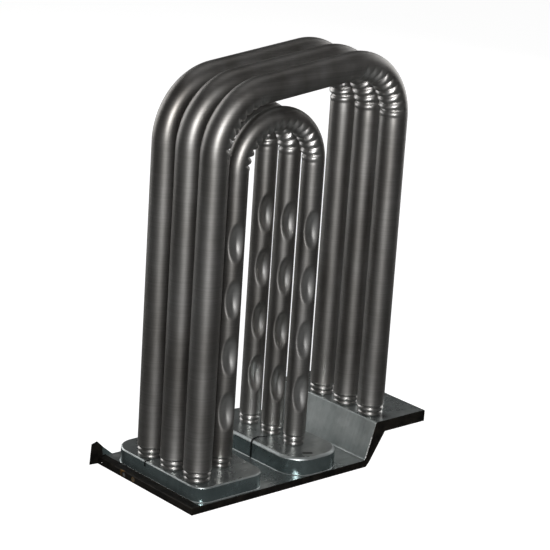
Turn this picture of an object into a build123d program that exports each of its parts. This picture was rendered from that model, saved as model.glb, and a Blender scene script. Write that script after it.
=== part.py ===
from build123d import *
from math import atan2, cos, degrees, radians, sin, tan
import os

os.makedirs("parts", exist_ok=True)

# Furnace heat exchanger, in millimetres. +Z is up and the panel's low rim stands on Z = 0.
# X runs along the panel from its low end to its raised end, Y runs across it.
# The origin is the middle of the part's outer box, on the plane that the low rim stands on.

# Vest panel: one folded and drawn sheet
sheet = 1.2
ramp_run = 20.5
ramp_rise = 62.6
raised_length = 110.3
low_rim_depth = 11.6
raised_rim_depth = 19.2
rim_corner_radius = 1.8
ramp_foot_radius = 4.0
ramp_top_radius = 3.0

# The rim widens along the ramp: where its lower edge leaves the floor, steps up and ends
rim_heel = 3.5
rim_toe = 10.5
rim_toe_rise = 7.6
rim_knee = 20.5

# Room left on the panel around the boxes and the outer rows of tubes
header_left_margin = 15.0
header_near_margin = 4.0
header_far_margin = 15.3
collector_near_margin = 2.4
collector_far_margin = 4.4
collector_right_margin = 42.65
primary_near_margin = 39.8
primary_far_margin = 88.0

# Header box: the wide drawn box that the primary and secondary tubes share
header_right_margin = 44.7
header_flare = 12.0
header_height = 25.4
header_corner_radius = 26.0
header_far_corner_radius = 38.0
header_root_radius = 2.0
header_crown_radius = 3.0

# Collector box: the oblong drawn box that the gas leaves through
collector_width = 109.0
collector_shift = 2.85
collector_height = 30.2
collector_corner_radius = 42.0
collector_root_radius = 1.5
collector_crown_radius = 6.0

# Primary tubes: large, on the header box and the raised flat
primary_radius = 22.225
primary_neck = 18.5
primary_pitch = 58.4
primary_inset = 24.0
primary_low_bend_radius = 96.5
primary_high_bend_radius = 90.0
primary_slope = 6.7
primary_ridge_count = 5
inlet_setback = 21.0

# Secondary tubes: small dimpled hairpins from the header box to the collector box
secondary_radius = 18.0
secondary_neck = 15.0
secondary_pitch = 55.5
secondary_gap = 67.3
secondary_bend_radius = 76.85
secondary_bend_height = 500.9
secondary_ridge_count = 8

# The primary tubes run over the hairpins with this gap
run_gap = 14.7

# Tube wall and wrinkles: the bore of a bend keeps clear of the folds and eases in over a length
wall = 1.2
fold = 1.2
bore_margin = 1.4
bore_easing = 14.0
bore_band_count = 4

# Tube feet: beads above the sheet, a neck through it and a flared lip under it
foot_lip_drop = 4.2
foot_lip_flare = 1.4
foot_bead_height = 2.5
foot_bead_depth = 1.2
foot_groove_height = 8.0
foot_groove_depth = 1.9
foot_height = 15.0
hole_clearance = 0.15

# Dimples on the near side of the secondary legs
dimple_radius = 100.0
dimple_depth = 4.5
dimple_pitch = 91.0
dimple_start = 121.0
dimple_count = 4

# Cover plates under the two boxes
cover_thickness = 1.6
cover_lap = 6.0
cover_clearance = 0.1
outlet_radius = 30.0
outlet_wall = 1.6
outlet_drop = 7.5

# Crack over the collector box, placed from the middle of the box
crack_width = 1.6
crack_overrun = 3.0
crack_reaches = [20.3, 32.9, 42.1]
crack_offsets = [-10.3, -5.1, -7.1, -12.7]

# Slit in the left edge of the header box and slot by the near end of the collector box
slit_width = 1.5
slit_length = 9.0
slit_depth = 9.0
slit_offset = -16.3
slot_length = 14.6
slot_width = 2.0
slot_offset = -9.8
slot_near_margin = 18.1
slot_turn = -32.0

# Turned-up corner of the far rim, reaching out past the low end and up over the flat
corner_start = 28.0
corner_middle = 11.0
corner_middle_rise = 14.0
corner_peak_reach = 2.6
corner_peak_rise = 27.0
corner_top_reach = 13.3
corner_top_rise = 24.0
corner_tip_reach = 16.1
corner_tip_height = 1.2

# Holes in the low rim, placed from the far edge
rim_hole_radius = 2.5
rim_hole_height = 5.8
rim_hole_margin = 10.8
rim_hole_spacing = 84.0
rim_wide_hole_radius = 4.2
rim_wide_hole_margin = 70.3

# A flat in place of a round bend takes this share of its radius; cuts run on past what they cut
flat_share = 0.6
cut_overrun = 4.0
tolerance = 0.01

# Sizes of the panel, worked out from what it carries
panel_width = primary_near_margin + 2 * primary_pitch + primary_far_margin
header_length_near = primary_inset + secondary_gap + header_right_margin
collector_length = panel_width - collector_near_margin - collector_far_margin
collector_reach = header_left_margin + primary_inset + secondary_gap + 2 * secondary_bend_radius
low_length = collector_reach + collector_shift + collector_width / 2 + collector_right_margin

# Places worked out from the sizes above
low_top = low_rim_depth
raised_top = low_top + ramp_rise
overall_length = corner_tip_reach + low_length + ramp_run + raised_length
low_left = corner_tip_reach - overall_length / 2
ramp_foot = low_left + low_length
ramp_top = ramp_foot + ramp_run
raised_right = ramp_top + raised_length
near_edge = -panel_width / 2
far_edge = panel_width / 2
ramp_angle = degrees(atan2(ramp_rise, ramp_run))

header_left = low_left + header_left_margin
header_near = near_edge + header_near_margin
header_far = far_edge - header_far_margin
header_top = low_top + header_height
collector_top = low_top + collector_height
collector_y = (collector_near_margin - collector_far_margin) / 2

primary_x = header_left + primary_inset
inlet_x = ramp_top + inlet_setback
primary_rows = [near_edge + primary_near_margin + primary_pitch * i for i in range(3)]
secondary_x = primary_x + secondary_gap
collector_x = secondary_x + 2 * secondary_bend_radius
collector_middle = collector_x + collector_shift
secondary_rows = [collector_y + secondary_pitch * i for i in (-1, 0, 1)]

# The turned-up corner, seen from the near side
corner_outline = [
    (low_left + corner_start, low_top),
    (low_left + corner_middle, low_top + corner_middle_rise),
    (low_left - corner_peak_reach, low_top + corner_peak_rise),
    (low_left - corner_top_reach, low_top + corner_top_rise),
    (low_left - corner_tip_reach, corner_tip_height),
    (low_left + sheet, 0),
    (low_left + sheet, low_top - rim_corner_radius),
]

# The crack, from the middle of the collector box over its left side
crack_ends = crack_reaches + [collector_width / 2 - collector_shift + crack_overrun]
crack_path = [(collector_x - x, collector_y + y) for x, y in zip(crack_ends, crack_offsets)]

header_cover_outline = [
    (header_left - cover_lap, header_near),
    (header_left + header_length_near + cover_lap, header_near),
    (header_left + header_length_near + header_flare + cover_lap, header_far + cover_lap),
    (header_left - cover_lap, header_far + cover_lap),
]


# Panel form: the panel as a block, every face moved in by the same amount
def side_outline(inset):
    shift = inset * tan(radians(ramp_angle / 2))
    top = [
        (raised_right - inset, raised_top - inset),
        (ramp_top + shift, raised_top - inset),
        (ramp_foot + shift, low_top - inset),
        (low_left + inset, low_top - inset),
    ]
    if inset > 0:
        return top + [(low_left + inset, -low_rim_depth), (raised_right - inset, -low_rim_depth)]
    rim_end = raised_top - raised_rim_depth
    return top + [
        (low_left, 0),
        (ramp_foot + rim_heel, 0),
        (ramp_foot + rim_toe, rim_toe_rise),
        (ramp_top + rim_knee, rim_end),
        (raised_right, rim_end),
    ]


def panel_form(inset):
    with BuildPart() as form:
        with BuildSketch(Plane.XZ) as side:
            with BuildLine():
                Polyline(*side_outline(inset), close=True)
            make_face()
            fillet(side.vertices().sort_by_distance((ramp_foot, low_top))[0], ramp_foot_radius + inset)
            fillet(side.vertices().sort_by_distance((ramp_top, raised_top))[0], ramp_top_radius - inset)
        extrude(amount=panel_width / 2 - inset, both=True)
        upper = form.faces().filter_by(lambda face: face.normal_at().Z > tolerance).edges()
        sides = upper.filter_by(lambda edge: at_side(edge, inset))
        ends = upper.filter_by(Axis.Y).filter_by(lambda edge: at_end(edge, inset))
        chamfer(sides + ends, (rim_corner_radius - inset) * flat_share)

        # Header box
        with BuildSketch(Plane.XY.offset(low_top - inset)) as outline:
            with BuildLine():
                Polyline(*header_outline(), close=True)
            make_face()
            fillet(outline.vertices().group_by(Axis.Y)[0], header_corner_radius)
            fillet(outline.vertices().group_by(Axis.Y)[-1], header_far_corner_radius)
            offset(amount=-inset)
        extrude(amount=header_height)
        soften_box(form, header_height, header_root_radius, header_crown_radius, inset)

        # Collector box
        with BuildSketch(Plane.XY.offset(low_top - inset)):
            with Locations((collector_middle, collector_y)):
                width = collector_width - 2 * inset
                length = collector_length - 2 * inset
                RectangleRounded(width, length, collector_corner_radius - inset)
        extrude(amount=collector_height)
        soften_box(form, collector_height, collector_root_radius, collector_crown_radius, inset)
    return form.part


def at_side(edge, inset):
    return abs(edge.center().Y) > panel_width / 2 - inset - tolerance


def at_end(edge, inset):
    x = edge.center().X
    return x < low_left + inset + tolerance or x > raised_right - inset - tolerance


def header_outline():
    return [
        (header_left, header_near),
        (header_left + header_length_near, header_near),
        (header_left + header_length_near + header_flare, header_far),
        (header_left, header_far),
    ]


# The crown of a box is round outside; its inside and its root are flats of about the same reach
def soften_box(form, height, root_radius, crown_radius, inset):
    base = low_top - inset
    top = base + height
    root = form.edges(Select.LAST).filter_by_position(Axis.Z, base - tolerance, base + tolerance)
    chamfer(root, (root_radius + inset) * flat_share)
    crown = form.edges().filter_by_position(Axis.Z, top - tolerance, top + tolerance)
    if inset > 0:
        chamfer(crown, (crown_radius - inset) * flat_share)
    else:
        fillet(crown, crown_radius)


# Vest panel: the drawn sheet with its tube holes, cracks, turned-up corner and rim holes
outside = panel_form(0)
inside = panel_form(sheet)


def foot_places(x, rows, seat):
    return [Plane((x, y, seat)) for y in rows]


def rim_place(margin):
    return Plane((low_left, far_edge - margin, rim_hole_height), z_dir=(-1, 0, 0))


with BuildPart() as vest_panel:
    add(outside)
    add(inside, mode=Mode.SUBTRACT)

    # Turned-up corner: the far rim stands up past the low end
    with BuildSketch(Plane.XZ.offset(-far_edge)):
        with BuildLine():
            Polyline(*corner_outline, close=True)
        make_face()
    extrude(amount=sheet)

    # Tube holes
    with Locations(*foot_places(primary_x, primary_rows, header_top)):
        Hole(primary_neck + hole_clearance, depth=cut_overrun)
    with Locations(*foot_places(secondary_x, secondary_rows, header_top)):
        Hole(secondary_neck + hole_clearance, depth=cut_overrun)
    with Locations(*foot_places(collector_x, secondary_rows, collector_top)):
        Hole(secondary_neck + hole_clearance, depth=cut_overrun)
    with Locations(*foot_places(inlet_x, primary_rows, raised_top)):
        Hole(primary_neck + hole_clearance, depth=cut_overrun)

    # Crack across the collector box, over its side and down to the flat
    with BuildSketch(Plane.XY.offset(collector_top)):
        with BuildLine():
            Polyline(*crack_path)
        trace(line_width=crack_width)
    extrude(amount=-collector_height, mode=Mode.SUBTRACT)

    # Slit over the left edge of the header box
    with BuildSketch(Plane.XY.offset(header_top)):
        with Locations((header_left + slit_length / 2 - sheet, primary_rows[2] + slit_offset)):
            Rectangle(slit_length, slit_width)
    extrude(amount=-slit_depth, mode=Mode.SUBTRACT)

    # Slot in the top of the collector box
    with BuildSketch(Plane.XY.offset(collector_top)):
        with Locations((collector_x + slot_offset, near_edge + collector_near_margin + slot_near_margin)):
            SlotOverall(slot_length, slot_width, rotation=slot_turn)
    extrude(amount=-cut_overrun, mode=Mode.SUBTRACT)

    # Holes in the low rim
    for margin in (rim_hole_margin, rim_hole_margin + rim_hole_spacing):
        with Locations(rim_place(margin)):
            Hole(rim_hole_radius, depth=2 * sheet)
    with Locations(rim_place(rim_wide_hole_margin)):
        Hole(rim_wide_hole_radius, depth=2 * sheet)
vest_panel.part.label = "vest_panel"
export_step(vest_panel.part, "parts/vest_panel.step")


# Tubes: a place along a bent tube, given by how far the path has turned from straight up
def outward(turn):
    return Vector(-cos(radians(turn)), 0, sin(radians(turn)))


def station(point, turn):
    along = (sin(radians(turn)), 0, cos(radians(turn)))
    return Plane(origin=point, x_dir=outward(turn), z_dir=along)


def leg_stations(x, y, seat, turn, steps):
    places = [(station((x, y, seat + height), turn), radius) for height, radius in steps]
    return places if turn == 0 else places[::-1]


def bend_stations(centre, bend, first, last, bands, radii, shifts):
    places = []
    for i in range(bands + 1):
        turn = first + (last - first) * i / bands
        place = station(centre + outward(turn) * (bend + shifts[i % 2]), turn)
        places.append((place, radii[i % 2]))
    return places


def foot_steps(radius, neck):
    return [
        (-foot_lip_drop, neck + foot_lip_flare),
        (foot_lip_flare - foot_lip_drop, neck),
        (0, neck),
        (foot_bead_height, radius - foot_bead_depth),
        (foot_groove_height, radius - foot_groove_depth),
        (foot_height, radius),
    ]


def bore_steps(radius, neck, reach):
    return [
        (-foot_lip_drop - cut_overrun, neck - wall),
        (0, neck - wall),
        (foot_height, radius - wall),
        (reach, radius - wall),
    ]


# A tube body is lofted through its rings, a short run of rings at a time
run_ring_count = 5


def lofted(places):
    with BuildPart() as body:
        for first in range(0, len(places) - 1, run_ring_count):
            for place, radius in places[first:first + run_ring_count + 1]:
                with BuildSketch(place):
                    Circle(radius)
            loft(ruled=True)
    return body.part


# The skin of a bend folds on its inner side only: each valley is a smaller ring, pushed outward
def bend_skin(centre, bend, radius, first, last, ridges):
    return bend_stations(centre, bend, first, last, 2 * ridges, (radius, radius - fold), (0, fold))


# The bore of a bend keeps clear of the valleys
def bend_bore(centre, bend, radius, first, last, bands):
    bore = radius - wall - bore_margin
    return bend_stations(centre, bend, first, last, bands, (bore, bore), (bore_margin, bore_margin))


# Path of a primary tube: up, over the hairpins on a slope, and down to the raised flat
hairpin_top = low_top + secondary_bend_height + secondary_bend_radius + secondary_radius
crest = 90 - primary_slope
low_centre_x = primary_x + primary_low_bend_radius
low_centre_z = hairpin_top + run_gap + primary_radius - primary_low_bend_radius
high_centre_x = inlet_x - primary_high_bend_radius
run_start = Vector(low_centre_x, 0, low_centre_z) + outward(crest) * primary_low_bend_radius
run_along = Vector(sin(radians(crest)), 0, cos(radians(crest)))
run_reach = high_centre_x + (outward(crest) * primary_high_bend_radius).X - run_start.X
run_end = run_start + run_along * (run_reach / run_along.X)
high_centre = run_end - outward(crest) * primary_high_bend_radius


def primary_tube(y):
    row = Vector(0, y, 0)
    low_bend = Vector(low_centre_x, y, low_centre_z)
    high_bend = high_centre + row
    feet = foot_steps(primary_radius, primary_neck)
    ridges = primary_ridge_count
    skin = leg_stations(primary_x, y, header_top, 0, feet)
    skin += bend_skin(low_bend, primary_low_bend_radius, primary_radius, 0, crest, ridges)
    skin += bend_skin(high_bend, primary_high_bend_radius, primary_radius, crest, 180, ridges)
    skin += leg_stations(inlet_x, y, raised_top, 180, feet)

    bands = bore_band_count
    low_reach = low_bend.Z - header_top - bore_easing
    high_reach = high_bend.Z - raised_top - bore_easing
    bore = leg_stations(primary_x, y, header_top, 0, bore_steps(primary_radius, primary_neck, low_reach))
    bore += bend_bore(low_bend, primary_low_bend_radius, primary_radius, 0, crest, bands)
    bore.append((station(run_start + row + run_along * bore_easing, crest), primary_radius - wall))
    bore.append((station(run_end + row - run_along * bore_easing, crest), primary_radius - wall))
    bore += bend_bore(high_bend, primary_high_bend_radius, primary_radius, crest, 180, bands)
    bore += leg_stations(inlet_x, y, raised_top, 180, bore_steps(primary_radius, primary_neck, high_reach))

    solid = lofted(skin)
    hollow = lofted(bore)
    with BuildPart() as tube:
        add(solid)
        add(hollow, mode=Mode.SUBTRACT)
    return tube


primary_tube_near = primary_tube(primary_rows[0])
primary_tube_near.part.label = "primary_tube_near"
export_step(primary_tube_near.part, "parts/primary_tube_near.step")

primary_tube_middle = primary_tube(primary_rows[1])
primary_tube_middle.part.label = "primary_tube_middle"
export_step(primary_tube_middle.part, "parts/primary_tube_middle.step")

primary_tube_far = primary_tube(primary_rows[2])
primary_tube_far.part.label = "primary_tube_far"
export_step(primary_tube_far.part, "parts/primary_tube_far.step")


# Dimples: long shallow dents across the near side of both secondary legs, wall and all
def dimples(y, extra):
    axis_y = y - secondary_radius + dimple_depth - dimple_radius
    heights = [low_top + dimple_start + dimple_pitch * i for i in range(dimple_count)]
    with BuildPart() as dents:
        for height in heights:
            for x in (secondary_x, collector_x):
                with Locations(Plane((x, axis_y, height), z_dir=(1, 0, 0))):
                    Cylinder(dimple_radius + extra, 2 * secondary_radius)
    return dents.part


def secondary_tube(y):
    centre = Vector(secondary_x + secondary_bend_radius, y, low_top + secondary_bend_height)
    feet = foot_steps(secondary_radius, secondary_neck)
    ridges = secondary_ridge_count
    skin = leg_stations(secondary_x, y, header_top, 0, feet)
    skin += bend_skin(centre, secondary_bend_radius, secondary_radius, 0, 180, ridges)
    skin += leg_stations(collector_x, y, collector_top, 180, feet)

    low_reach = centre.Z - header_top - bore_easing
    high_reach = centre.Z - collector_top - bore_easing
    low_steps = bore_steps(secondary_radius, secondary_neck, low_reach)
    high_steps = bore_steps(secondary_radius, secondary_neck, high_reach)
    bore = leg_stations(secondary_x, y, header_top, 0, low_steps)
    bore += bend_bore(centre, secondary_bend_radius, secondary_radius, 0, 180, 2 * bore_band_count)
    bore += leg_stations(collector_x, y, collector_top, 180, high_steps)

    solid = lofted(skin)
    hollow = lofted(bore)
    with BuildPart() as dented_bore:
        add(hollow)
        add(dimples(y, wall), mode=Mode.SUBTRACT)
    with BuildPart() as tube:
        add(solid)
        add(dimples(y, 0), mode=Mode.SUBTRACT)
        add(dented_bore.part, mode=Mode.SUBTRACT)
    return tube


secondary_tube_near = secondary_tube(secondary_rows[0])
secondary_tube_near.part.label = "secondary_tube_near"
export_step(secondary_tube_near.part, "parts/secondary_tube_near.step")

secondary_tube_middle = secondary_tube(secondary_rows[1])
secondary_tube_middle.part.label = "secondary_tube_middle"
export_step(secondary_tube_middle.part, "parts/secondary_tube_middle.step")

secondary_tube_far = secondary_tube(secondary_rows[2])
secondary_tube_far.part.label = "secondary_tube_far"
export_step(secondary_tube_far.part, "parts/secondary_tube_far.step")


# Header cover: a plain plate that closes the header box from below
with BuildPart() as header_cover:
    with BuildSketch(Plane.XY.offset(low_top - sheet - cover_clearance)):
        with BuildLine():
            Polyline(*header_cover_outline, close=True)
        made = make_face()
        fillet(made.vertices(), header_corner_radius)
    extrude(amount=-cover_thickness)
header_cover.part.label = "header_cover"
export_step(header_cover.part, "parts/header_cover.step")


# Collector cover: a plate with the flue outlet, whose collar turns down
with BuildPart() as collector_cover:
    with BuildSketch(Plane.XY.offset(low_top - sheet - cover_clearance)):
        with Locations((collector_middle, collector_y)):
            RectangleRounded(collector_width + 2 * cover_lap, collector_length, collector_corner_radius)
    extrude(amount=-cover_thickness)
    with BuildSketch(Plane.XY.offset(low_top - sheet - cover_clearance - cover_thickness)):
        with Locations((collector_x, collector_y)):
            Circle(outlet_radius + outlet_wall)
    extrude(amount=-outlet_drop)
    with Locations(Plane((collector_x, collector_y, low_top))):
        Hole(outlet_radius, depth=low_top)
collector_cover.part.label = "collector_cover"
export_step(collector_cover.part, "parts/collector_cover.step")
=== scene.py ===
import math
import random
from collections import namedtuple

import bmesh
import bpy
import numpy as np
from mathutils import Matrix, Vector


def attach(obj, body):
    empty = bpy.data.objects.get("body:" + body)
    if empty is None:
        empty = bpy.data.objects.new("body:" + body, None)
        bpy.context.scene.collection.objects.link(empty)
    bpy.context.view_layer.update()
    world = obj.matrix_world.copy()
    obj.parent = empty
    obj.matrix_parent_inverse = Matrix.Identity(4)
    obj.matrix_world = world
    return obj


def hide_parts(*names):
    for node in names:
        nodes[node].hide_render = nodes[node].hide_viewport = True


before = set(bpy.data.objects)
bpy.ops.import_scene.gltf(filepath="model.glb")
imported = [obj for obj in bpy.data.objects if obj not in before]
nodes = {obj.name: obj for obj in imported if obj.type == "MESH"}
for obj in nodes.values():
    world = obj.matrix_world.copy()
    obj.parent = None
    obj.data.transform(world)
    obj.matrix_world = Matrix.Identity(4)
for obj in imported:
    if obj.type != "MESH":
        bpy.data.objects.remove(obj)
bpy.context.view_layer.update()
MM = 0.001

# Sizes of the part, in millimetres and degrees, as the CAD has them
LOW_TOP = 11.6
RAISED_TOP = 74.2
HEADER_TOP = 37.0
COLLECTOR_TOP = 41.8
PRIMARY_X, INLET_X = -198.35, 164.15
SECONDARY_X, COLLECTOR_X = -131.05, 22.65
PRIMARY_ROWS = (-82.5, -24.1, 34.3)
SECONDARY_ROWS = (-56.5, -1.0, 54.5)
PRIMARY_RADIUS, SECONDARY_RADIUS = 22.225, 18.0
PRIMARY_NECK, SECONDARY_NECK = 18.5, 15.0
WALL = 1.2
LOW_BEND, HIGH_BEND, U_BEND = 96.5, 90.0, 76.85
SLOPE = 6.7
LOW_BEND_Z = 547.8
U_BEND_Z = 512.5
FIRST_DIMPLE, DIMPLE_PITCH, DIMPLE_COUNT = 121.0, 91.0, 4
SIDES = ("near", "middle", "far")

# Skin of the tubes, in millimetres and radians
AROUND = 72
RINGS_PER_RIDGE = 12
DRAWS = 64
SKEW = 0.08
FOLD_SIZES = (0.75, 1.2)
PRIMARY_FOLD, SECONDARY_FOLD = 4.6, 4.0
PILLOW = 0.9
DIMPLE_DEPTH = 8.6
DIMPLE_HALF_HEIGHT = 32.0
DIMPLE_HALF_ANGLE = 0.84
DIMPLE_TURN = 0.28
FOOT_RINGS = 44
BEAD_REACH = 21
BORE_MARGIN = 1.6
BORE_SHIFT = 1.2
# How strongly the foot beads are polished and lightened as painted highlight, and how strongly the
# dimples are lightened
BEAD_POLISH_AND_SHEEN = 0.55
DIMPLE_SHEEN = 1.7
PRIMARY_SEED, SECONDARY_SEED = 11, 31

# Places on the vest panel, in metres
LOW_FLAT_Z = 0.0118
RAISED_FLAT_Z = 0.0735
SLIT_Z = 0.028
STRIP_Z = 0.0127
STRIP_X = -0.2172
TURNED_UP_X = -0.2290
LOW_RIM_X, HIGH_RIM_X = -0.2364, 0.2525
RIM_Y = 0.1214
BOXES_END_X = 0.1
RAMP_X = (0.1222, 0.1440)
BURR_Y, BURR_HALF_WIDTH = -0.1211, 0.0010
BURR_Z = (0.014, 0.050)
RUBBED_SPOT = (-0.2085, 0.111)
SWARF_SPOT = (0.172, -0.106)

# Rust in y and z on the low rim: centre, radius, colour, and 1 where it is even
RUST = (((0.0535, 0.0075), 0.010, (0.20, 0.105, 0.03), 0.0),
        ((0.0275, 0.0058), 0.0048, (0.34, 0.23, 0.12), 1.0))

# Painted shade in the cracks and slits of the sheet, drawn as dark lines, in x and y: start, end,
# width, and the height they lie above
CRACK = ((-0.0004, -0.0105), (0.00235, -0.0123), (-0.01025, -0.0061),
         (-0.01945, -0.0081), (-0.032, -0.0137))
CRACK_WIDTHS = (0.0024, 0.0024, 0.0024, 0.00256)
MARKS = [(*run, LOW_FLAT_Z) for run in zip(CRACK, CRACK[1:], CRACK_WIDTHS)]
MARKS.append(((-0.2223, 0.018), (-0.2130, 0.018), 0.0024, SLIT_Z))
MARKS.append(((0.0077, -0.0986), (0.018, -0.1050), 0.0040, LOW_FLAT_Z))

# Floor that shows through the sheet's openings, in metres
FOOTPRINT_X, FOOTPRINT_HALF_LENGTH, FOOTPRINT_HALF_WIDTH = -0.06, 0.176, 0.1212


# Materials
def new_material(name):
    m = bpy.data.materials.new(name)
    m.use_nodes = True
    t = m.node_tree
    bsdf = next(n for n in t.nodes if n.type == "BSDF_PRINCIPLED")
    return m, t, bsdf


def node(t, kind, **values):
    """A new node; a value sets its property of that name or else its input."""
    n = t.nodes.new(kind)
    for key, value in values.items():
        if hasattr(n, key):
            setattr(n, key, value)
        else:
            n.inputs[key].default_value = value
    return n


def grey(v):
    return (v, v, v)


def coordinates(t):
    return t.nodes.new("ShaderNodeTexCoord").outputs["Object"]


def separated(t, vector):
    """The three coordinates of a vector."""
    n = t.nodes.new("ShaderNodeSeparateXYZ")
    t.links.new(vector, n.inputs[0])
    return n.outputs[0], n.outputs[1], n.outputs[2]


def attribute(t, name):
    return node(t, "ShaderNodeAttribute", attribute_name=name).outputs["Fac"]


def ramp(t, value, stops, interpolation="LINEAR"):
    """Colour at a value, from stops of position and colour."""
    n = t.nodes.new("ShaderNodeValToRGB")
    n.color_ramp.interpolation = interpolation
    while len(n.color_ramp.elements) < len(stops):
        n.color_ramp.elements.new(0.5)
    for e, (at, colour) in zip(n.color_ramp.elements, stops):
        e.position = at
        e.color = (*colour, 1)
    t.links.new(value, n.inputs["Fac"])
    return n.outputs["Color"]


def noise(t, vector, scale, detail, rough):
    n = node(t, "ShaderNodeTexNoise", Scale=scale, Detail=detail, Roughness=rough)
    t.links.new(vector, n.inputs["Vector"])
    return n.outputs["Fac"]


def stretched(t, vector, scale):
    n = node(t, "ShaderNodeMapping", Scale=scale)
    t.links.new(vector, n.inputs["Vector"])
    return n.outputs["Vector"]


def mixed(t, kind, factor, a, b):
    """Colour a with b laid over it; factor, a and b are values or outputs."""
    n = node(t, "ShaderNodeMix", data_type="RGBA", blend_type=kind)
    if isinstance(factor, float):
        n.inputs["Factor"].default_value = factor
    else:
        t.links.new(factor, n.inputs["Factor"])
    for socket, value in ((n.inputs[6], a), (n.inputs[7], b)):
        if isinstance(value, tuple):
            socket.default_value = (*value, 1)
        else:
            t.links.new(value, socket)
    return n.outputs[2]


def maths(t, op, *values, clamp=False):
    """Output of a math node; the values are numbers or outputs."""
    n = node(t, "ShaderNodeMath", operation=op, use_clamp=clamp)
    for socket, value in zip(n.inputs, values):
        if isinstance(value, (int, float)):
            socket.default_value = value
        else:
            t.links.new(value, socket)
    return n.outputs[0]


def product(t, first, *others):
    for other in others:
        first = maths(t, "MULTIPLY", first, other)
    return first


def largest(t, first, *others):
    for other in others:
        first = maths(t, "MAXIMUM", first, other)
    return first


def over(t, value, limit):
    return maths(t, "GREATER_THAN", value, limit)


def under(t, value, limit):
    return maths(t, "LESS_THAN", value, limit)


def between(t, value, limits):
    return product(t, over(t, value, limits[0]), under(t, value, limits[1]))


def distance_from(t, value, place):
    return maths(t, "ABSOLUTE", maths(t, "SUBTRACT", value, place))


def vector_maths(t, op, out, a, b):
    """Output of a vector math node; a is an output, b an output or a vector."""
    n = node(t, "ShaderNodeVectorMath", operation=op)
    t.links.new(a, n.inputs[0])
    if isinstance(b, bpy.types.NodeSocket):
        t.links.new(b, n.inputs[1])
    else:
        n.inputs[1].default_value = b
    return n.outputs[out]


def spot(t, first, second, at, inner, outer):
    """1 inside the inner radius round a place in two coordinates, falling to 0 at the outer one."""
    away = maths(t, "POWER", maths(t, "SUBTRACT", first, at[0]), 2.0)
    aside = maths(t, "POWER", maths(t, "SUBTRACT", second, at[1]), 2.0)
    span = maths(t, "SQRT", maths(t, "ADD", away, aside))
    fall = 1.0 / (outer - inner)
    return maths(t, "MULTIPLY_ADD", span, -fall, outer * fall, clamp=True)


def scar(t, co, start, end, width):
    """1 along a line over the sheet, seen from above, falling to 0 at the width beside it."""
    run = Vector((*end, 0)) - Vector((*start, 0))
    flat = vector_maths(t, "MULTIPLY", "Vector", co, (1, 1, 0))
    rel = vector_maths(t, "SUBTRACT", "Vector", flat, (*start, 0))
    share = vector_maths(t, "DOT_PRODUCT", "Value", rel, run / run.length_squared)
    share = maths(t, "MINIMUM", maths(t, "MAXIMUM", share, 0.0), 1.0)
    nearest = t.nodes.new("ShaderNodeVectorMath")
    nearest.operation = "SCALE"
    nearest.inputs[0].default_value = run
    t.links.new(share, nearest.inputs["Scale"])
    off = vector_maths(t, "DISTANCE", "Value", rel, nearest.outputs["Vector"])
    return maths(t, "MULTIPLY_ADD", off, -2.0 / width, 2.0, clamp=True)


def finish_surface(t, bsdf, colour, rough, metallic, height, strength, distance):
    """Connects the colour, the roughness and the fine relief to the shader."""
    t.links.new(colour, bsdf.inputs["Base Color"])
    t.links.new(rough, bsdf.inputs["Roughness"])
    bsdf.inputs["Metallic"].default_value = metallic
    bump = node(t, "ShaderNodeBump", Strength=strength, Distance=distance)
    t.links.new(height, bump.inputs["Height"])
    t.links.new(bump.outputs["Normal"], bsdf.inputs["Normal"])


def tube_steel():
    """Aluminised tube: grey metal drawn along its length, with faint rings and soft stains."""
    m, t, bsdf = new_material("tube_steel")
    co = coordinates(t)
    cloud = noise(t, stretched(t, co, (9, 9, 3)), 2.2, 5.0, 0.6)
    rings = noise(t, stretched(t, co, (6, 6, 700)), 1.0, 3.0, 0.6)
    fine = noise(t, co, 900.0, 2.0, 0.5)
    base = ramp(t, cloud, [(0.30, (0.20, 0.189, 0.176)), (0.70, (0.30, 0.293, 0.284))])
    ring_tone = ramp(t, rings, [(0.3, grey(0.88)), (0.7, grey(1.08))])
    colour = mixed(t, "MULTIPLY", 1.0, base, ring_tone)
    # Painted highlight: the folds, the dimples and the foot beads are lightened to stand in for
    # their bright sheen, and their roughness is lowered
    folded = attribute(t, "folded")
    bead_polish_and_sheen = attribute(t, "bead_polish_and_sheen")
    colour = mixed(t, "ADD", product(t, folded, 0.42), colour, (0.50, 0.50, 0.495))
    colour = mixed(t, "ADD", product(t, bead_polish_and_sheen, 0.55), colour, (0.42, 0.42, 0.415))
    rough = maths(t, "MULTIPLY_ADD", cloud, 0.18, 0.37)
    rough = maths(t, "SUBTRACT", rough, product(t, bead_polish_and_sheen, 0.20))
    rough = maths(t, "SUBTRACT", rough, product(t, folded, 0.07))
    # The drawing stretches the highlights along the tube
    bsdf.inputs["Anisotropic"].default_value = 0.25
    along = node(t, "ShaderNodeTangent", direction_type="UV_MAP", uv_map="along")
    t.links.new(along.outputs["Tangent"], bsdf.inputs["Tangent"])
    height = maths(t, "MULTIPLY_ADD", fine, 0.35, rings)
    finish_surface(t, bsdf, colour, rough, 1.0, height, 0.10, 0.0002)
    return m


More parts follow.
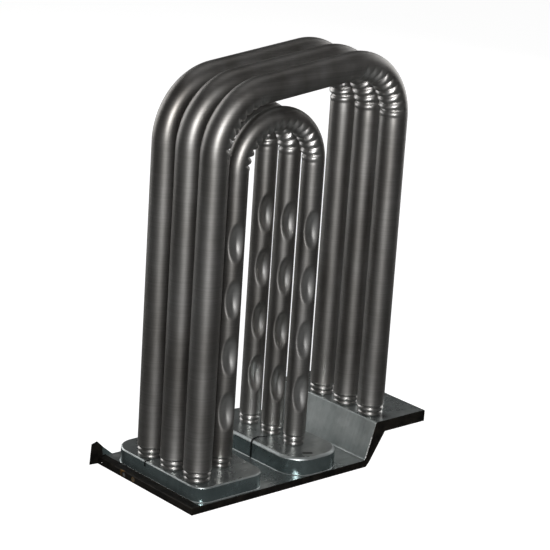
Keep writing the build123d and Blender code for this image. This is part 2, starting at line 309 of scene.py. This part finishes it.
def painted_shape_light(t, co, x, z, colour, rough):
    """The ramp, the drawn walls and the bends of the vest panel: painted light and shade in their
    colour, and each its own roughness.
    """
    # Painted highlight: the ramp is lightened in patches to stand for the brighter reflection it
    # catches, and its sheen is broader
    on_ramp = between(t, x, RAMP_X)
    patch = noise(t, stretched(t, co, (1, 1, 0.35)), 24.0, 1.0, 0.4)
    ramp_sheen = ramp(t, patch, [(0.38, grey(0.04)), (0.66, grey(0.85))])
    colour = mixed(t, "ADD", product(t, on_ramp, ramp_sheen), colour, (0.10, 0.11, 0.105))
    rough = maths(t, "ADD", rough, product(t, on_ramp, 0.10))
    # Painted shade: the drawn walls of the boxes are darkened to stand for the dark room they
    # reflect
    true_normal = t.nodes.new("ShaderNodeNewGeometry").outputs["True Normal"]
    level = maths(t, "ABSOLUTE", separated(t, true_normal)[2])
    box = product(t, under(t, x, BOXES_END_X), over(t, z, LOW_FLAT_Z))
    wall_shade = product(t, under(t, level, 0.25), box)
    colour = mixed(t, "MULTIPLY", wall_shade, colour, (0.52, 0.60, 0.61))
    # Painted highlight: the bends at their crowns and roots are lightened along their rounds, and
    # made rougher
    bend = product(t, between(t, level, (0.28, 0.97)), box)
    colour = mixed(t, "ADD", product(t, bend, 0.4), colour, (0.50, 0.52, 0.52))
    rough = maths(t, "ADD", rough, product(t, bend, 0.14))
    return colour, rough


def dark_edges(t, co, x, y, z, cloud, colour, rough):
    """Near black rims and low end of the vest panel, with a rubbed spot and rust."""
    fine = noise(t, co, 60.0, 4.0, 0.6)
    # The rims and a strip along the low end are darkened to near black
    near_black = ramp(t, fine, [(0.35, (0.009, 0.0085, 0.0075)), (0.75, (0.040, 0.034, 0.027))])
    # The strip along the low end ends in a ragged line and takes in the turned-up corner
    ragged = maths(t, "MULTIPLY_ADD", cloud, 0.008, x)
    low_or_corner = largest(t, under(t, z, STRIP_Z), under(t, x, TURNED_UP_X))
    strip = product(t, under(t, ragged, STRIP_X), low_or_corner)
    sides = over(t, maths(t, "ABSOLUTE", y), RIM_Y)
    low_rim = under(t, x, LOW_RIM_X)
    edge = largest(t, sides, low_rim, over(t, x, HIGH_RIM_X), strip)
    colour = mixed(t, "MIX", edge, colour, near_black)
    rough = maths(t, "ADD", rough, product(t, edge, 0.3))
    # Bare metal where the far corner of the low end is rubbed
    rub = product(t, spot(t, x, y, RUBBED_SPOT, 0.004, 0.009), under(t, z, STRIP_Z))
    colour = mixed(t, "MIX", rub, colour, (0.55, 0.56, 0.56))
    patchy = ramp(t, fine, [(0.42, grey(0.0)), (0.55, grey(1.0))])
    for at, reach, tone, even in RUST:
        rust = product(t, spot(t, y, z, at, reach * 0.6, reach), low_rim, largest(t, patchy, even))
        colour = mixed(t, "MIX", rust, colour, tone)
    return colour, rough


def gap_shade_burr_and_swarf(t, co, x, y, z, colour):
    """Painted shade in the cracks and slits, the torn burr and the swarf of the vest panel."""
    # Dark lines of painted shade along the cracks and slits
    for start, end, width, above in MARKS:
        gap_shade = product(t, scar(t, co, start, end, width), over(t, z, above))
        colour = mixed(t, "MIX", gap_shade, colour, grey(0.006))
    glints = noise(t, co, 700.0, 2.0, 0.6)
    # The burr runs down the near edge of the ramp
    torn = ramp(t, glints, [(0.50, grey(0.0)), (0.56, grey(1.0))])
    on_edge = under(t, distance_from(t, y, BURR_Y), BURR_HALF_WIDTH)
    burr = product(t, on_edge, between(t, x, RAMP_X), between(t, z, BURR_Z), torn)
    colour = mixed(t, "MIX", burr, colour, (0.92, 0.92, 0.90))
    # The swarf lies on the raised flat by the nearest foot
    swarf = product(t, spot(t, x, y, SWARF_SPOT, 0.004, 0.016), over(t, z, RAISED_FLAT_Z))
    stops = [(0.40, grey(0.03)), (0.52, grey(0.25)), (0.62, grey(0.9))]
    return mixed(t, "MIX", swarf, colour, ramp(t, glints, stops, "CONSTANT"))


def galvanised(name, low, high, wear_and_painted_light):
    """Galvanised sheet: spangle, clouds and wiped streaks; the flag adds the marks of the old panel
    and the painted light and shade of its shape.
    """
    m, t, bsdf = new_material(name)
    co = coordinates(t)
    spangle = node(t, "ShaderNodeTexVoronoi", Scale=130.0)
    t.links.new(co, spangle.inputs["Vector"])
    cloud = noise(t, co, 14.0, 6.0, 0.6)
    streak = noise(t, stretched(t, co, (4, 60, 4)), 2.0, 5.0, 0.6)
    base = ramp(t, cloud, [(0.32, low), (0.68, high)])
    flake = ramp(t, spangle.outputs["Color"], [(0.0, grey(0.9)), (1.0, grey(1.08))])
    colour = mixed(t, "MULTIPLY", 0.8, base, flake)
    wipe = ramp(t, streak, [(0.35, grey(0.9)), (0.65, grey(1.06))])
    colour = mixed(t, "MULTIPLY", 1.0, colour, wipe)
    rough = maths(t, "MULTIPLY_ADD", cloud, 0.22, 0.17)
    if wear_and_painted_light:
        x, y, z = separated(t, co)
        colour, rough = painted_shape_light(t, co, x, z, colour, rough)
        colour, rough = dark_edges(t, co, x, y, z, cloud, colour, rough)
        colour = gap_shade_burr_and_swarf(t, co, x, y, z, colour)
    height = maths(t, "MULTIPLY_ADD", noise(t, co, 400.0, 3.0, 0.6), 0.3, cloud)
    finish_surface(t, bsdf, colour, rough, 0.8, height, 0.25, 0.0006)
    return m


# Tubes
Ring = namedtuple("Ring", "centre turn radius fade phase reach z leg")
Bend = namedtuple("Bend", "x z radius start end ridges reach")

PRIMARY_FOOT = [
    (-4.2, PRIMARY_NECK + 1.4), (-3.6, PRIMARY_NECK + 0.9), (-2.8, PRIMARY_NECK),
    (0.0, PRIMARY_NECK), (0.6, 19.6), (1.6, 20.4), (3.4, 20.9), (5.2, 20.6), (6.2, 19.9),
    (7.0, 19.2), (7.7, 19.8), (8.6, 21.0), (10.2, 21.7), (12.0, 21.8), (13.8, 21.4),
    (15.0, 20.5), (15.8, 19.9), (16.5, 20.6), (17.4, 21.9), (19.0, 22.6), (20.6, 22.5),
    (22.4, PRIMARY_RADIUS)]
SECONDARY_FOOT = [
    (h, r * SECONDARY_RADIUS / PRIMARY_RADIUS if h > 0 else r - PRIMARY_NECK + SECONDARY_NECK)
    for h, r in PRIMARY_FOOT]
LIP_Z = PRIMARY_FOOT[0][0]


def direction(turn):
    """Outward direction in a bend, from -X at 0 degrees over +Z to +X at 180 degrees."""
    a = math.radians(turn)
    return np.array([-math.cos(a), 0.0, math.sin(a)])


def foot_profile(steps):
    """Heights above the seat and radii along the beads, with more rings between the points."""
    h, r = np.array(steps).T
    fine = np.unique(np.concatenate([h, np.linspace(h[0], h[-1], FOOT_RINGS)]))
    return [(float(a), float(np.interp(a, h, r))) for a in fine]


def crease(u):
    """How deep the skin is folded at phase u, from 0 on a pillow to 1 in a crease."""
    return 1.0 - np.abs(np.sin(math.pi * u)) ** 0.7


def leg_ring(x, z, radius, leg):
    """A ring of an upright leg; leg 1 is the low end's, leg 2 comes down from the last bend."""
    turn = 0.0 if leg == 1 else 180.0
    return Ring(np.array([x, 0, z]), turn, radius, 0.0, 0.0, 0.0, z, leg)


def tube_rings(x_low, x_high, seat_low, seat_high, radius, foot, bends, dimpled):
    """Rings of a bent tube from its low end's foot over the bends to the other foot.

    fade and phase say how deep and where in a fold a ring is, and reach how far round it folds.
    """
    step, gap, foot_height = (3.0, 4, 30) if dimpled else (60.0, 20, 60)
    up = np.arange(seat_low + foot_height, bends[0].z - gap, step)
    down = np.arange(bends[-1].z - gap, seat_high + foot_height, -step)
    rings = [leg_ring(x_low, seat_low + h, r, 1) for h, r in foot]
    rings += [leg_ring(x_low, z, radius, 1) for z in up]
    for b in bends:
        centre = np.array([b.x, 0, b.z])
        steps = b.ridges * RINGS_PER_RIDGE
        for i in range(steps + 1):
            f = i / steps
            turn = b.start + (b.end - b.start) * f
            fade = min(1.0, f * b.ridges, (1 - f) * b.ridges)
            place = centre + direction(turn) * b.radius
            rings.append(Ring(place, turn, radius, fade, f * b.ridges, b.reach, 0.0, 0))
    rings += [leg_ring(x_high, z, radius, 2) for z in down]
    rings += [leg_ring(x_high, seat_high + h, r, 2) for h, r in foot[::-1]]
    return rings


def dents(phi, ring, dimple_z):
    """Depth of the dimples round a ring of a leg, from 0 to 1.

    They face the near side, turned a little towards the panel's low end.
    """
    beta = phi if ring.leg == 1 else math.pi - phi
    facing = beta + math.pi / 2 - DIMPLE_TURN
    angle = np.arctan2(np.sin(facing), np.cos(facing))
    depth = np.zeros(len(phi))
    for z in dimple_z:
        away = np.sqrt((angle / DIMPLE_HALF_ANGLE) ** 2 + ((ring.z - z) / DIMPLE_HALF_HEIGHT) ** 2)
        depth = depth + np.cos(np.minimum(away, 1.0) * math.pi / 2)
    return depth


def quads(first, second, flip):
    """Faces between two rings, given by their first vertices."""
    faces = []
    for i in range(AROUND):
        k = (i + 1) % AROUND
        quad = (first + i, first + k, second + k, second + i)
        faces.append(quad[::-1] if flip else quad)
    return faces


def tube_mesh(name, rings, y, fold_depth, dimple_z, seed):
    """A tube with its bore; one mask marks the foot beads, another the folds and the dimples, for
    the material's painted highlight and lower roughness.
    """
    rng = random.Random(seed)
    skew = [rng.uniform(-SKEW, SKEW) for _ in range(DRAWS)]
    size = [rng.uniform(*FOLD_SIZES) for _ in range(DRAWS)]
    seats = {1: rings[0].z - LIP_Z, 2: rings[-1].z - LIP_Z}
    phi = np.arange(AROUND) * 2 * math.pi / AROUND
    outer, inner, bead_polish_and_sheen, folded = [], [], [], []
    for ring in rings:
        out = direction(ring.turn)
        inside = np.clip((ring.reach - np.cos(phi)) * 1.5, 0, 1) ** 0.8
        k = int(round(ring.phase)) % DRAWS
        wave = crease(ring.phase + skew[k] * np.sin(phi) * 0.5) * size[k]
        pillow = PILLOW * np.abs(np.sin(math.pi * ring.phase)) * inside
        r = ring.radius + ring.fade * (pillow - fold_depth * inside * wave)
        dent = dents(phi, ring, dimple_z if ring.leg else [])
        r = r - DIMPLE_DEPTH * dent
        skin = ring.centre + np.outer(np.cos(phi) * r, out) + np.outer(np.sin(phi) * r, (0, 1.0, 0))
        outer.append(skin)
        # The bore keeps clear of the creases, which are deepest on the inner side of a bend
        shrink = 1 - (WALL + (BORE_MARGIN if ring.fade else 0)) / ring.radius
        shift = out * (BORE_SHIFT if ring.fade else 0)
        inner.append(ring.centre + shift + (skin - ring.centre) * shrink)
        bead = ring.leg and abs(ring.z - seats[ring.leg]) < BEAD_REACH
        bead_polish_and_sheen.append(np.full(AROUND, BEAD_POLISH_AND_SHEEN if bead else 0.0))
        folded.append(ring.fade * inside + DIMPLE_SHEEN * np.minimum(1.0, 2.0 * dent))
    n = len(rings)
    bore = n * AROUND
    end = bore - AROUND
    faces = []
    for shell, flip in ((0, True), (bore, False)):
        for first in range(shell, shell + end, AROUND):
            faces += quads(first, first + AROUND, flip)
    faces += quads(0, bore, False) + quads(end, bore + end, True)
    verts = np.concatenate(outer + inner) + np.array([0, y, 0])
    mesh = bpy.data.meshes.new(name)
    mesh.from_pydata((verts * MM).tolist(), [], faces)
    for label, values in (("bead_polish_and_sheen", bead_polish_and_sheen), ("folded", folded)):
        layer = mesh.attributes.new(label, "FLOAT", "POINT")
        layer.data.foreach_set("value", np.concatenate(values * 2).astype(np.float32))
    mesh.shade_smooth()
    bm = bmesh.new()
    bm.from_mesh(mesh)
    bmesh.ops.recalc_face_normals(bm, faces=bm.faces)
    uv = bm.loops.layers.uv.new("along")
    for f in bm.faces:
        columns = [loop.vert.index % AROUND for loop in f.loops]
        wrap = max(columns) - min(columns) > AROUND / 2
        for loop, column in zip(f.loops, columns):
            row = (loop.vert.index // AROUND) % n
            if wrap and column == 0:
                column = AROUND
            loop[uv].uv = (row / n, column / AROUND)
    bm.to_mesh(mesh)
    bm.free()
    o = bpy.data.objects.new(name, mesh)
    bpy.context.scene.collection.objects.link(o)
    return o


def primary_bends():
    """The two bends of a large tube, joined by a run that rises to the inlet side."""
    slope = math.radians(SLOPE)
    crest = 90 - SLOPE
    low = np.array([PRIMARY_X + LOW_BEND, 0, LOW_BEND_Z])
    start = low + direction(crest) * LOW_BEND
    along = np.array([math.cos(slope), 0, math.sin(slope)])
    reach = INLET_X - HIGH_BEND - HIGH_BEND * math.sin(slope) - start[0]
    high = start + along * (reach / along[0]) - direction(crest) * HIGH_BEND
    return [Bend(low[0], low[2], LOW_BEND, 0.0, crest, 8, 0.0),
            Bend(high[0], high[2], HIGH_BEND, crest, 180.0, 10, 0.16)]


steel = tube_steel()
primary_rings = tube_rings(PRIMARY_X, INLET_X, HEADER_TOP, RAISED_TOP, PRIMARY_RADIUS,
                           foot_profile(PRIMARY_FOOT), primary_bends(), False)
secondary_rings = tube_rings(SECONDARY_X, COLLECTOR_X, HEADER_TOP, COLLECTOR_TOP, SECONDARY_RADIUS,
                             foot_profile(SECONDARY_FOOT),
                             [Bend(SECONDARY_X + U_BEND, U_BEND_Z, U_BEND, 0.0, 180.0, 17, 0.14)],
                             True)
dimple_heights = [LOW_TOP + FIRST_DIMPLE + DIMPLE_PITCH * i for i in range(DIMPLE_COUNT)]

for i, (row, side) in enumerate(zip(PRIMARY_ROWS, SIDES)):
    o = tube_mesh(f"bent_tube_{side}", primary_rings, row, PRIMARY_FOLD, [], PRIMARY_SEED + i)
    o.data.materials.append(steel)
    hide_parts(f"primary_tube_{side}")
    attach(o, "root")

for i, (row, side) in enumerate(zip(SECONDARY_ROWS, SIDES)):
    o = tube_mesh(f"dimpled_tube_{side}", secondary_rings, row, SECONDARY_FOLD, dimple_heights,
                  SECONDARY_SEED + i)
    o.data.materials.append(steel)
    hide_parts(f"secondary_tube_{side}")
    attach(o, "root")

panel_sheet = galvanised("galvanised_sheet", (0.27, 0.30, 0.30), (0.43, 0.455, 0.45), True)
cover_sheet = galvanised("cover_sheet", (0.13, 0.15, 0.15), (0.2, 0.22, 0.22), False)
for name, material in (("vest_panel", panel_sheet), ("header_cover", cover_sheet),
                       ("collector_cover", cover_sheet)):
    o = nodes[name]
    for s in o.material_slots:
        s.material = material
    o.data.shade_smooth()
    o.data.set_sharp_from_angle(angle=math.radians(52))
    o.modifiers.new("soft_bends", "WEIGHTED_NORMAL").keep_sharp = True


# Studio
def plane(name, size, z):
    mesh = bpy.data.meshes.new(name)
    h = size / 2
    mesh.from_pydata([(-h, -h, z), (h, -h, z), (h, h, z), (-h, h, z)], [], [(0, 1, 2, 3)])
    o = bpy.data.objects.new(name, mesh)
    bpy.context.scene.collection.objects.link(o)
    return o


def blend_shaders(t, factor, a, b):
    n = t.nodes.new("ShaderNodeMixShader")
    for socket, value in zip(n.inputs, (factor, a, b)):
        t.links.new(value, socket)
    return n.outputs[0]


def camera_ray(t):
    return t.nodes.new("ShaderNodeLightPath").outputs["Is Camera Ray"]


# The paper glows to the camera alone, and not where it is seen through the sheet's openings; there
# it is a darker paper, painted shade under the panel
floor = plane("floor", 14.0, -0.0004)
m, t, bsdf = new_material("floor_paper")
bsdf.inputs["Base Color"].default_value = (*grey(0.40), 1)
bsdf.inputs["Roughness"].default_value = 0.9
glow = node(t, "ShaderNodeEmission", Strength=0.94)
paper = t.nodes.new("ShaderNodeAddShader")
t.links.new(bsdf.outputs[0], paper.inputs[0])
t.links.new(glow.outputs[0], paper.inputs[1])
shade_under_panel = node(t, "ShaderNodeBsdfDiffuse", Color=(0.18, 0.185, 0.185, 1))
x, y, _ = separated(t, coordinates(t))
across = over(t, distance_from(t, x, FOOTPRINT_X), FOOTPRINT_HALF_LENGTH)
beyond = largest(t, across, over(t, maths(t, "ABSOLUTE", y), FOOTPRINT_HALF_WIDTH))
shown = blend_shaders(t, product(t, camera_ray(t), beyond), shade_under_panel.outputs[0], paper.outputs[0])
out = next(n for n in t.nodes if n.type == "OUTPUT_MATERIAL")
t.links.new(shown, out.inputs["Surface"])
floor.data.materials.append(m)

# A dark room that is white to the camera alone
world = bpy.data.worlds.new("studio")
bpy.context.scene.world = world
world.use_nodes = True
t = world.node_tree
room = next(n for n in t.nodes if n.type == "BACKGROUND")
room.inputs["Strength"].default_value = 1.0
sky_z = separated(t, t.nodes.new("ShaderNodeTexCoord").outputs["Generated"])[2]
tones = [(0.0, grey(0.10)), (0.25, grey(0.085)), (0.5, grey(0.03)), (1.0, grey(0.02))]
t.links.new(ramp(t, sky_z, tones), room.inputs["Color"])
white = node(t, "ShaderNodeBackground", Color=(1, 1, 1, 1), Strength=1.0)
shown = blend_shaders(t, camera_ray(t), room.outputs[0], white.outputs[0])
out = next(n for n in t.nodes if n.type == "OUTPUT_WORLD")
t.links.new(shown, out.inputs["Surface"])


def lamp(name, size, power, place, target):
    data = bpy.data.lights.new(name, "AREA")
    data.size = size
    data.energy = power
    o = bpy.data.objects.new(name, data)
    o.location = place
    o.rotation_euler = (Vector(target) - Vector(place)).to_track_quat("-Z", "Y").to_euler()
    bpy.context.scene.collection.objects.link(o)


lamp("flash", 0.34, 80, (-2.02, -2.33, 1.42), (0, 0, 0.33))
lamp("right_back", 2.4, 40, (3.1, 0.5, 1.15), (0, 0, 0.33))
lamp("left_back", 2.4, 40, (-0.6, 3.1, 1.15), (0, 0, 0.33))
lamp("top", 1.6, 4, (0.2, 0.4, 2.6), (0, 0, 0.3))

# Camera, fitted to the outlines of the tubes and the panel in the photograph
YAW, PITCH, ROLL = (math.radians(v) for v in (-41.73, -17.1, 3.77))
PLACE = (-2.10215, -2.36710, 1.28922)
FOCAL_PIXELS, IMAGE_PIXELS, SENSOR = 2076.57, 550.0, 36.0
forward = Vector((-math.sin(YAW) * math.cos(PITCH), math.cos(YAW) * math.cos(PITCH),
                  math.sin(PITCH)))
level_right = Vector((math.cos(YAW), math.sin(YAW), 0))
level_up = level_right.cross(forward)
right = math.cos(ROLL) * level_right + math.sin(ROLL) * level_up
up = math.cos(ROLL) * level_up - math.sin(ROLL) * level_right
camera = bpy.data.objects.new("camera", bpy.data.cameras.new("camera"))
bpy.context.scene.collection.objects.link(camera)
camera.data.sensor_width = SENSOR
camera.data.lens = FOCAL_PIXELS * SENSOR / IMAGE_PIXELS
camera.data.clip_end = 50
turned = Matrix((right, up, -forward)).transposed()
camera.matrix_world = Matrix.Translation(PLACE) @ turned.to_4x4()
bpy.context.scene.camera = camera
bpy.context.scene.view_settings.view_transform = "Standard"
